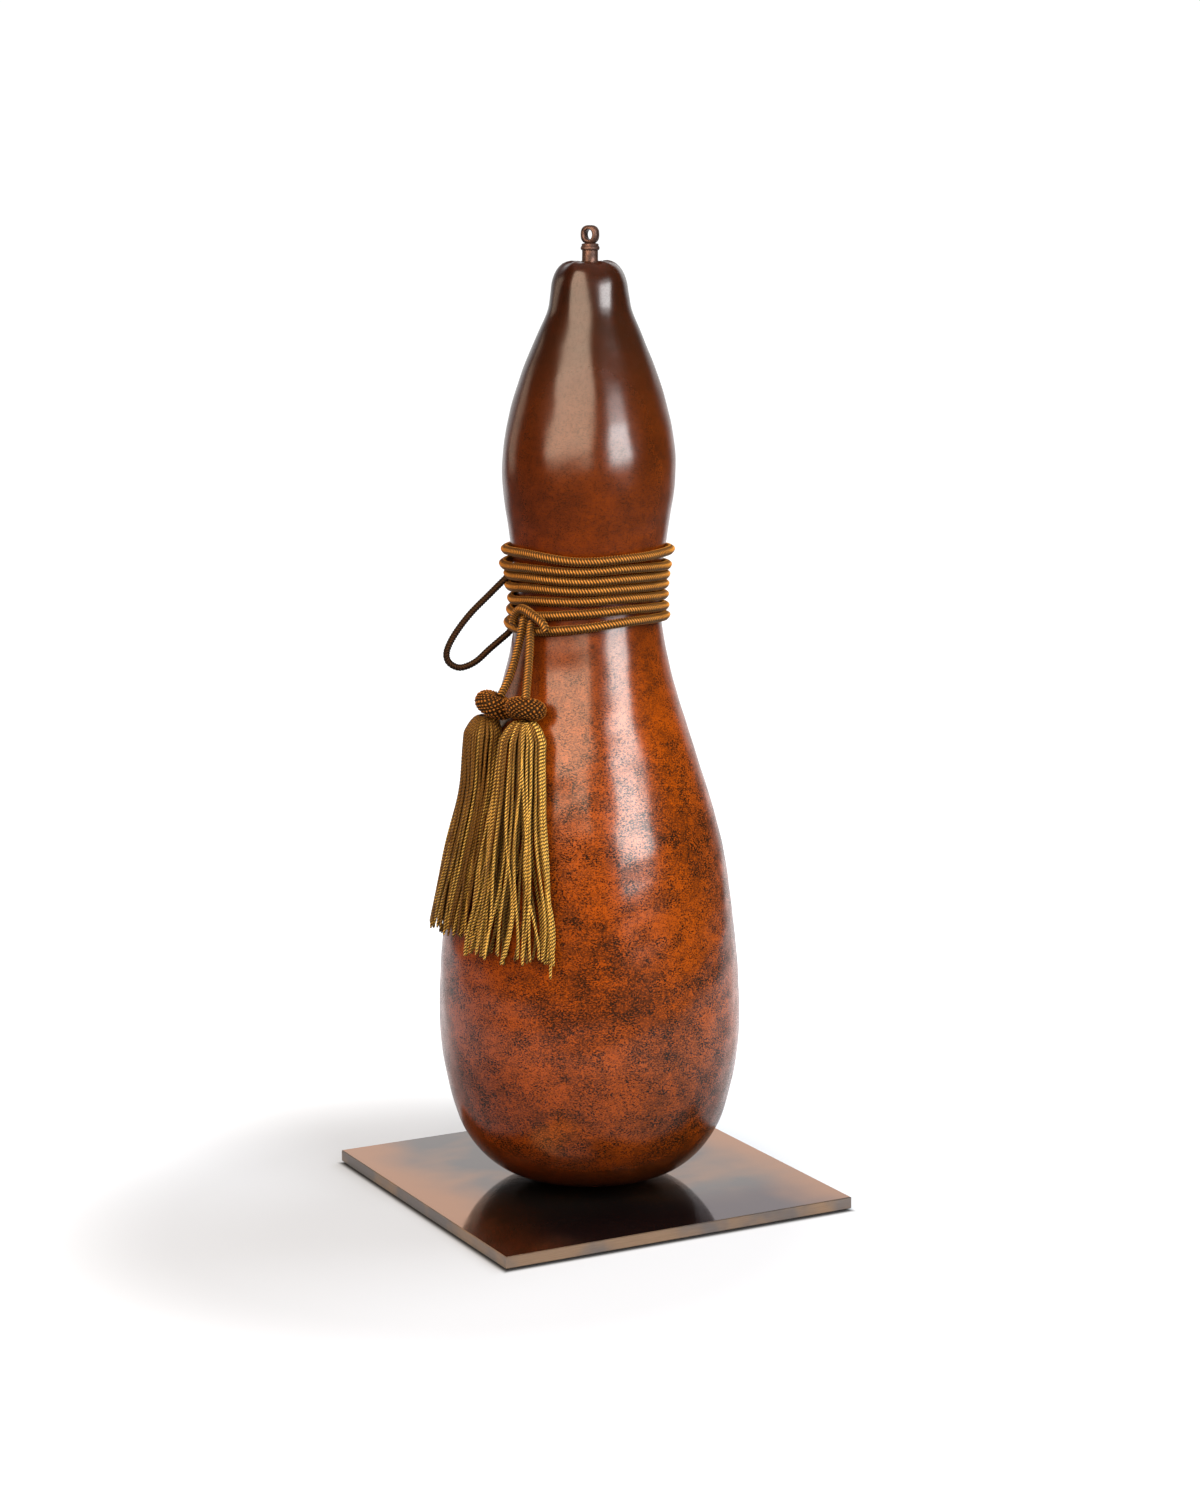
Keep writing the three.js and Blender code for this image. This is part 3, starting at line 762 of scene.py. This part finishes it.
class GOURD_OT_skin(bpy.types.Operator):
    """Build the gourd itself, one grown piece with its bored mouth"""
    bl_idname = "gourd.skin"
    bl_label = "Gourd"

    def execute(self, context):
        look = context.scene.gourd_skin
        outline = spline(GOURD_OUTLINE, 24 * (len(GOURD_OUTLINE) - 1))
        mouth = spline([GOURD_OUTLINE[-1], *MOUTH], 14)
        outline = np.vstack([[(5, 0)], outline, mouth[1:]])
        flat = np.column_stack([outline, np.zeros(len(outline))])
        outline = even(flat, travelled(flat)[-1] / look.rings)
        turn = np.linspace(0, 360, look.sides, endpoint=False)
        radius, height = outline[:, :1], outline[:, 1:2]
        crown = np.clip((height - CROWN_FROM) / (GOURD_HEIGHT - CROWN_FROM), 0, 1)
        crown = crown ** 2 * (3 - 2 * crown) * (radius > 7)
        angle = np.radians(turn)[None]
        lobes = np.cos(5 * (angle - 0.80)) + 0.4 * np.cos(2 * angle + 0.6)
        lobe = look.lobe / MM * crown * lobes
        pucker = 0.5 * crown * np.cos(9 * angle + 0.6) * np.exp(-((radius - 9) / 5) ** 2)
        points = around(turn[None], radius + lobe, height + GAP + 0.4 * lobe + pucker)
        flow = points.reshape(-1, 3)
        swell = ripple(flow, 70, 3) + 0.45 * ripple(flow, 24, 4) + 0.1 * ripple(flow, 11, 5)
        # The unevenness fades out at the foot and under the mouth.
        hold = np.clip((outline[:, 1] - 4) / 20, 0, 1) * np.clip((484 - outline[:, 1]) / 30, 0, 1)
        dent = sum(
            depth * np.exp(-((turn[None] - at) / wide) ** 2 - ((height - level) / rise) ** 2)
            for at, level, wide, rise, depth in DENTS)
        swell = swell - 1.6 * dent.ravel()
        outward = from_axis(flow)
        flow = flow + outward * (swell * np.repeat(hold, look.sides) * look.wave / MM)[:, None]
        rows = len(outline)
        ends = np.array([around(0, 0, GAP), around(0, 0, outline[-1, 1] + GAP)])
        centre = rows * look.sides
        last = centre - look.sides
        fans = [(centre, list(reversed(range(look.sides)))),
                (centre + 1, [last + k for k in range(look.sides)])]
        piece = mesh_piece("gourd_skin_piece", np.vstack([flow, ends]),
                           ring_quads(rows, look.sides), fans)
        finish_piece(piece, "gourd_skin", gourd_skin(look), "gourd")
        return {"FINISHED"}


class GOURD_OT_stand(bpy.types.Operator):
    """Finish the plate and its felt pad"""
    bl_idname = "gourd.stand"
    bl_label = "Stand"

    def execute(self, context):
        look = context.scene.gourd_metal
        for node, finish in (("base_plate", heat_tinted_copper(look)),
                             ("felt_pad", dark_felt(look))):
            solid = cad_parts[node]
            solid.data.materials.clear()
            solid.data.materials.append(finish)
        return {"FINISHED"}


class GOURD_OT_stopper(bpy.types.Operator):
    """Build the metal stopper with its collar and eyelet"""
    bl_idname = "gourd.stopper"
    bl_label = "Stopper"

    def execute(self, context):
        profile = spline(STOPPER_PROFILE, 6 * (len(STOPPER_PROFILE) - 1))
        turn = np.linspace(0, 360, 48, endpoint=False)
        stem = around(turn[None], profile[:, :1], profile[:, 1:2] + GOURD_HEIGHT)
        bundle = Bundle()
        bundle.add(stem, 0.5)
        bundle.add(self.eyelet(), 0.5, closed=True)
        piece = bundle.piece("stopper_piece")
        finish_piece(piece, "bronze", patinated_bronze(context.scene.gourd_metal), "stopper")
        return {"FINISHED"}

    def eyelet(self):
        """A closed band round the eye, upright over the collar."""
        angle = np.linspace(0, 2 * np.pi, 64, endpoint=False)
        across, up = np.cos(angle), np.sin(angle)
        power = EYELET_CORNERS
        boxy = (np.abs(across) ** power + np.abs(up) ** power) ** (-1 / power)
        outer = np.stack([EYELET_HALF[0] * boxy * across, EYELET_HALF[1] * boxy * up], -1)
        inner = np.stack([EYE_HALF[0] * across, EYE_HALF[1] * up], -1)
        out = EYELET_SECTION[None, :, :1]
        thick = EYELET_SECTION[None, :, 1]
        flat = inner[:, None] * (1 - out) + outer[:, None] * out
        thick = np.broadcast_to(thick, flat.shape[:2])
        x = flat[..., 0] * math.cos(EYELET_TURN) + thick * math.sin(EYELET_TURN)
        y = flat[..., 0] * math.sin(EYELET_TURN) - thick * math.cos(EYELET_TURN)
        return seen(x, y, flat[..., 1] + EYELET_MIDDLE + GOURD_HEIGHT)


class GOURD_OT_cords(bpy.types.Operator):
    """Wind the braided waist cord and tie its knot"""
    bl_idname = "gourd.cords"
    bl_label = "Waist cord"

    def execute(self, context):
        look = context.scene.gourd_cord
        finish = yarn("braided_cord", look.painted_shade_and_fibre, look.light, look.tip, 0.62, 0.35)
        radius = look.diameter / 2 / MM
        stitch = look.stitch / MM
        for name, path, replaced in (
                ("waist_cord_piece", self.wraps(radius + look.lay / MM), "waist_cord"),
                ("knot_piece", spline(on_gourd(*np.array(KNOT_ROUTE).T), 80), "cord_knot")):
            bundle = Bundle()
            bundle.add(*braid(path, from_axis, radius, stitch))
            finish_piece(bundle.piece(name), "cord", finish, replaced)
        return {"FINISHED"}

    def wraps(self, lay):
        """Seven turns that step down at the back, where both ends are tucked under them."""
        knots = []
        for number, row in enumerate(TURN_HEIGHTS):
            knots += [(360 * number + place, height) for place, height in zip(TURN_PLACES, row)]
            if number + 1 < len(TURN_HEIGHTS):
                knots.append((360 * number + 180, (row[-1] + TURN_HEIGHTS[number + 1][0]) / 2))
        fine = spline(knots, len(knots) * 12)
        last = 360 * (len(TURN_HEIGHTS) - 1)
        winding = np.arange(TURN_PLACES[0] - 45, last + 131, 5.0)
        number = np.clip(np.round(winding / 360), 0, len(TURN_HEIGHTS) - 1).astype(int)
        turn = winding - 360 * number
        height = np.interp(winding, fine[:, 0], fine[:, 1])
        height = height - 0.09 * np.maximum(winding - last - 88, 0)
        slack = np.array(TURN_SLACK)[number] * np.exp(-((turn - SLACK_AT) / SLACK_SPREAD) ** 2)
        back = np.clip((180 - np.abs(turn) - RIDE_TOP) / (RIDE_SPREAD - RIDE_TOP), 0, 1)
        between = (winding > 0) & (winding < last)
        over = (1 - back * back * (3 - 2 * back)) * between * RIDE_LIFT
        middle = on_gourd(turn, height, lay + slack + over)
        top = on_gourd(*np.array([(t, h, lay) for t, h in TOP_TAIL]).T)
        low = on_gourd(*np.array([(t, h, lay) for t, h in LOW_TAIL]).T)
        points = np.vstack([spline(top, 24)[:-1], middle, spline(low, 24)[1:]])
        return spline(points, 3 * len(points))


class GOURD_OT_pendants(bpy.types.Operator):
    """Hang the cord's two ends, each with a netted tassel head"""
    bl_idname = "gourd.pendants"
    bl_label = "Pendants"

    def execute(self, context):
        cord, tassel = context.scene.gourd_cord, context.scene.gourd_tassel
        finish = yarn("pendant_cord", cord.painted_shade_and_fibre, cord.light, cord.tip, 0.62, 0.35)
        knit = yarn("tassel_head_yarn", cord.painted_shade_and_fibre, tassel.knit, cord.light, 0.66, 0.2)
        for side, route in (("left", LEFT_PENDANT), ("right", RIGHT_PENDANT)):
            head = self.head(f"tassel_head_{side}_piece", TASSELS[side], tassel.head / MM)
            finish_piece(head, "cord", knit, f"tassel_head_{side}")
            path = even(spline(on_gourd(*np.array(route).T), 60), 0.4)
            bundle = Bundle()
            bundle.add(*braid(path, from_axis, cord.diameter / 2 / MM, cord.stitch / MM))
            piece = finish_piece(bundle.piece(f"pendant_{side}_piece"), "cord", finish,
                                 f"pendant_{side}")
        return {"FINISHED"}

    def head(self, name, tassel, radius):
        """A flattened ball with a woven net of yarn."""
        rise = np.linspace(-1.32, 1.32, 96)[:, None]
        angle = np.linspace(0, 2 * np.pi, 210, endpoint=False)[None]
        threads, up, down, relief = 21, 16, 14, 1.1
        stray = np.sin(3 * angle + 2 * rise) + 0.9 * np.sin(5 * angle - 6 * rise)
        ridge = (1 + np.cos(threads * angle + up * rise + stray)) * (
            1 + np.cos(threads * angle - down * rise - stray))
        ridge = (ridge / 4) ** 0.7
        out = radius * np.cos(rise) ** 0.62 - relief + relief * ridge
        points = head_point(tassel, out * np.cos(angle), out * np.sin(angle),
                            (HEAD_HALF_HEIGHT - 0.4 + 0.6 * ridge) * np.sin(rise) + 0 * angle)
        bundle = Bundle()
        bundle.add(points, ridge)
        return bundle.piece(name)


def head_point(tassel, outward, side, up):
    """A point of a tassel's head, leaned to the gourd's slope."""
    out = outward * math.cos(HEAD_LEAN) - up * math.sin(HEAD_LEAN)
    rise = outward * math.sin(HEAD_LEAN) + up * math.cos(HEAD_LEAN)
    swing = math.radians(tassel["sway"])
    across = side * math.cos(swing) - rise * math.sin(swing)
    height = side * math.sin(swing) + rise * math.cos(swing)
    radius = gourd_radius(tassel["head_height"]) + HEAD_LIFT + out
    turn = tassel["head_turn"] + np.degrees(across / radius)
    return around(turn, radius, tassel["head_height"] + height)


class GOURD_OT_skirts(bpy.types.Operator):
    """Hang the twisted strands of both tassels"""
    bl_idname = "gourd.skirts"
    bl_label = "Tassel skirts"

    def execute(self, context):
        look = context.scene.gourd_tassel
        finish = yarn("tassel_yarn", look.painted_shade_and_fibre, look.light, look.tip, 0.58, 0.35)
        for seed, side in enumerate(("left", "right")):
            tassel = TASSELS[side]
            rng = np.random.default_rng(40 + seed)
            bundle = Bundle()
            for layer, count in ((1.0, look.outer), (INNER_LAYER, look.inner)):
                count = round(count * tassel["fill"])
                for number in range(count):
                    angle = 2 * np.pi * (number + 0.5 * rng.uniform(-0.5, 0.5)) / count
                    self.strand(bundle, tassel, angle, layer, look, rng)
            piece = bundle.piece(f"tassel_skirt_{side}_piece")
            finish_piece(piece, "tassel", finish, f"tassel_skirt_{side}")
        return {"FINISHED"}

    def strand(self, bundle, tassel, angle, layer, look, rng):
        """One two-ply strand, from under the head over the shoulder to the ragged hem."""
        thick = look.strand / 2 / MM
        twist = look.twist / MM
        step = twist / 6
        share = np.linspace(0, 1, 140) ** 1.15
        reach = rng.normal(0, 1.5) + (rng.random() < 0.07) * rng.uniform(2, 5)
        swing = angle + rng.normal(0, 0.24) * share + 0.07 * share * np.sin(
            share * 8 + rng.uniform(0, 6))
        shoulder = 0.36 + 0.64 * np.sqrt(np.minimum(1, share / 0.075))
        width = (along(tassel["widths"], share) - thick) * shoulder * layer
        depth = (along(tassel["depths"], share) - thick) * shoulder * layer
        flare = 1 + 0.05 * rng.normal() * share ** 2
        middle = along(tassel["depths"], share)
        drop = (tassel["top"] - 0.2 - tassel["hem"]) * share + reach * share ** 3
        height = tassel["top"] - 0.2 - drop + 0.4 * (1 - share)
        wander = rng.normal(0, 2.3) * share ** 1.3 * np.sin(share * 7 + rng.uniform(0, 6))
        ruffle = rng.normal(0, 0.9) * share * np.sin(share * 6 + rng.uniform(0, 6))
        lift = SKIRT_CLEAR + middle + depth * flare * np.cos(swing) + ruffle
        lift = np.maximum(thick + 0.35, lift)
        base = gourd_radius(height)
        turn = along(tassel["turns"], share) + np.degrees(
            (width * flare * np.sin(swing) + wander) / (base + middle))
        path = even(around(turn, base + lift, height), step)
        gone = np.linspace(0, 1, len(path)) * len(path) * step
        plies = 0.5 + 0.5 * np.cos(np.arange(6) * np.pi / 1.5)
        ends = np.clip((gone[-1] - gone) / 0.8, 0.55, 1)[:, None]
        radii = thick * (0.70 + 0.30 * plies[None]) * ends
        turned = 2 * np.pi * gone / twist + rng.uniform(0, 6)
        rings = tube_points(path, from_axis(path), radii, turned)
        # Inner strands are painted darker, as painted shade inside the skirt.
        ridge = plies * (1 if layer == 1 else INNER_PAINTED_SHADE)
        bundle.add(rings, ridge, rng.uniform(*tassel["tint"]))


class GOURD_OT_loop(bpy.types.Operator):
    """Bend the thin dark loop at the left"""
    bl_idname = "gourd.loop"
    bl_label = "Thin loop"

    def execute(self, context):
        look = context.scene.gourd_cord
        finish = yarn("dark_braid", look.loop_painted_shade_and_fibre, look.loop_light, look.loop_tip, 0.55, 0.15)
        path = even(spline(seen(*np.array(LOOP_ROUTE).T), 160), 0.35)
        bundle = Bundle()
        bundle.add(*braid(path, TOWARD, look.loop_diameter / 2 / MM, look.loop_stitch / MM))
        piece = finish_piece(bundle.piece("loop_cord_piece"), "dark_cord", finish, "loop_cord")
        return {"FINISHED"}


class GOURD_OT_stage(bpy.types.Operator):
    """Lay the pale floor and set the soft studio light"""
    bl_idname = "gourd.stage"
    bl_label = "Stage"

    def execute(self, context):
        look = context.scene.gourd_stage
        context.scene.view_settings.view_transform = "Standard"
        self.floor(look)
        for name, setting, *place in SOFTBOXES:
            self.softbox(name, getattr(look, setting), *place)
        context.scene.world = self.room(look)
        return {"FINISHED"}

    def floor(self, look):
        """A wide pale floor that glows, less so round the stand as a painted shadow, with a painted
        contact shadow along the plate's edges.
        """
        floor = Finish("pale_floor")
        spot = floor.place()
        front = floor.dot(spot, TOWARD)
        pool = floor.length(floor.node("ShaderNodeVectorMath", {"operation": "ADD"}, {
            0: spot, 1: TOWARD * POOL_BACK}))
        wedge = floor.fade(front / floor.length(spot), *WEDGE, 1.0, 0.0)
        lit = wedge.larger(floor.fade(pool, *POOL, 1.0, 0.0)) * floor.fade(
            front, *FRONT, 1.0, 0.0)
        lit = lit.larger(floor.node("ShaderNodeLightPath", out="Is Camera Ray"))
        # Painted contact shadow: a thin dark line in the floor's glow and colour along the plate's
        # edges.
        edge = floor.axis(spot, "X").size().larger(floor.axis(spot, "Y").size()) - PLATE_HALF
        clear = floor.fade(edge, -0.001, 0.003, 0.05, 1.0)
        # Painted shadow: the glow is lower round a spot to the left of the stand and towards the
        # front.
        away = floor.length(floor.node("ShaderNodeVectorMath", {"operation": "SUBTRACT"}, {
            0: spot, 1: seen(*PAINTED_SHADOW_SPOT, -STAND_TOP) * MM}))
        glow = floor.fade(away, *PAINTED_SHADOW_FADE, look.glow, WHITE_GLOW) * clear
        glow = glow * lit + (1 - lit) * DIM_GLOW
        floor.shade(
            Base_Color=floor.mix(lit * clear, DIM, look.floor), Roughness=0.9,
            Specular_IOR_Level=0.0, Emission_Color=glow, Emission_Strength=1.0)
        corners = np.array([(-25, -25, 0), (25, -25, 0), (25, 25, 0), (-25, 25, 0)], float) / MM
        ground = mesh_piece("floor", corners, np.array([[0, 1, 2, 3]]))
        ground.data.materials.append(floor.block)

    def room(self, look):
        """A room that is bright behind the gourd and overhead, and to direct view."""
        room = Finish("studio", world=True)
        aim = room.node("ShaderNodeTexCoord", out="Generated")
        behind = room.fade(room.dot(aim, TOWARD), -0.90, -0.60, look.back, look.front)
        above = room.fade(room.axis(aim, "Z"), 0.65, 0.95, 0.0, look.overhead)
        direct = room.node("ShaderNodeLightPath", out="Is Camera Ray") * look.back
        room.shade(Color=behind.larger(above).larger(direct), Strength=1.0)
        return room.block

    def softbox(self, name, power, turn, lean, away, height, size, colour, surface):
        """A rectangular light that faces the gourd, leaned over it."""
        light = bpy.data.lights.new(name, "AREA")
        light.shape = "RECTANGLE"
        light.size, light.size_y = size[0] * MM, size[1] * MM
        light.energy = power
        light.color = colour
        lamp = bpy.data.objects.new(name, light)
        bpy.context.scene.collection.objects.link(lamp)
        lamp.visible_glossy = surface == "glossy"
        lamp.visible_diffuse = surface == "matt"
        lean, turn = math.radians(lean), math.radians(turn)
        spot = seen(away * math.sin(turn), -away * math.cos(turn), height - STAND_TOP)
        lamp.location = (spot * MM).tolist()
        lamp.rotation_euler = (math.pi / 2 - lean, 0, FACING + turn)


class GOURD_PT_panel(bpy.types.Panel):
    """Lists the pieces and their settings"""
    bl_idname = "GOURD_PT_panel"
    bl_label = "Bottle gourd"
    bl_space_type = "VIEW_3D"
    bl_region_type = "UI"
    bl_category = "Gourd"

    def draw(self, context):
        for operator in OPERATORS:
            self.layout.operator(operator.bl_idname)
        for group in GROUPS:
            settings = getattr(context.scene, group)
            box = self.layout.box()
            for name in type(settings).__annotations__:
                box.prop(settings, name)


GROUPS = {
    "gourd_skin": GourdLook,
    "gourd_metal": MetalLook,
    "gourd_cord": CordLook,
    "gourd_tassel": TasselLook,
    "gourd_stage": StageLook,
}
OPERATORS = (
    GOURD_OT_camera,
    GOURD_OT_pendants,
    GOURD_OT_loop,
    GOURD_OT_cords,
    GOURD_OT_skirts,
    GOURD_OT_skin,
    GOURD_OT_stopper,
    GOURD_OT_stand,
    GOURD_OT_stage,
)


def register():
    for made in (*GROUPS.values(), *OPERATORS, GOURD_PT_panel):
        bpy.utils.register_class(made)
    for name, group in GROUPS.items():
        setattr(bpy.types.Scene, name, PointerProperty(type=group))


def unregister():
    for name in GROUPS:
        delattr(bpy.types.Scene, name)
    for made in reversed((*GROUPS.values(), *OPERATORS, GOURD_PT_panel)):
        bpy.utils.unregister_class(made)


def main():
    register()
    for operator in OPERATORS:
        group, name = operator.bl_idname.split(".")
        getattr(getattr(bpy.ops, group), name)()


if __name__ == "__main__":
    main()
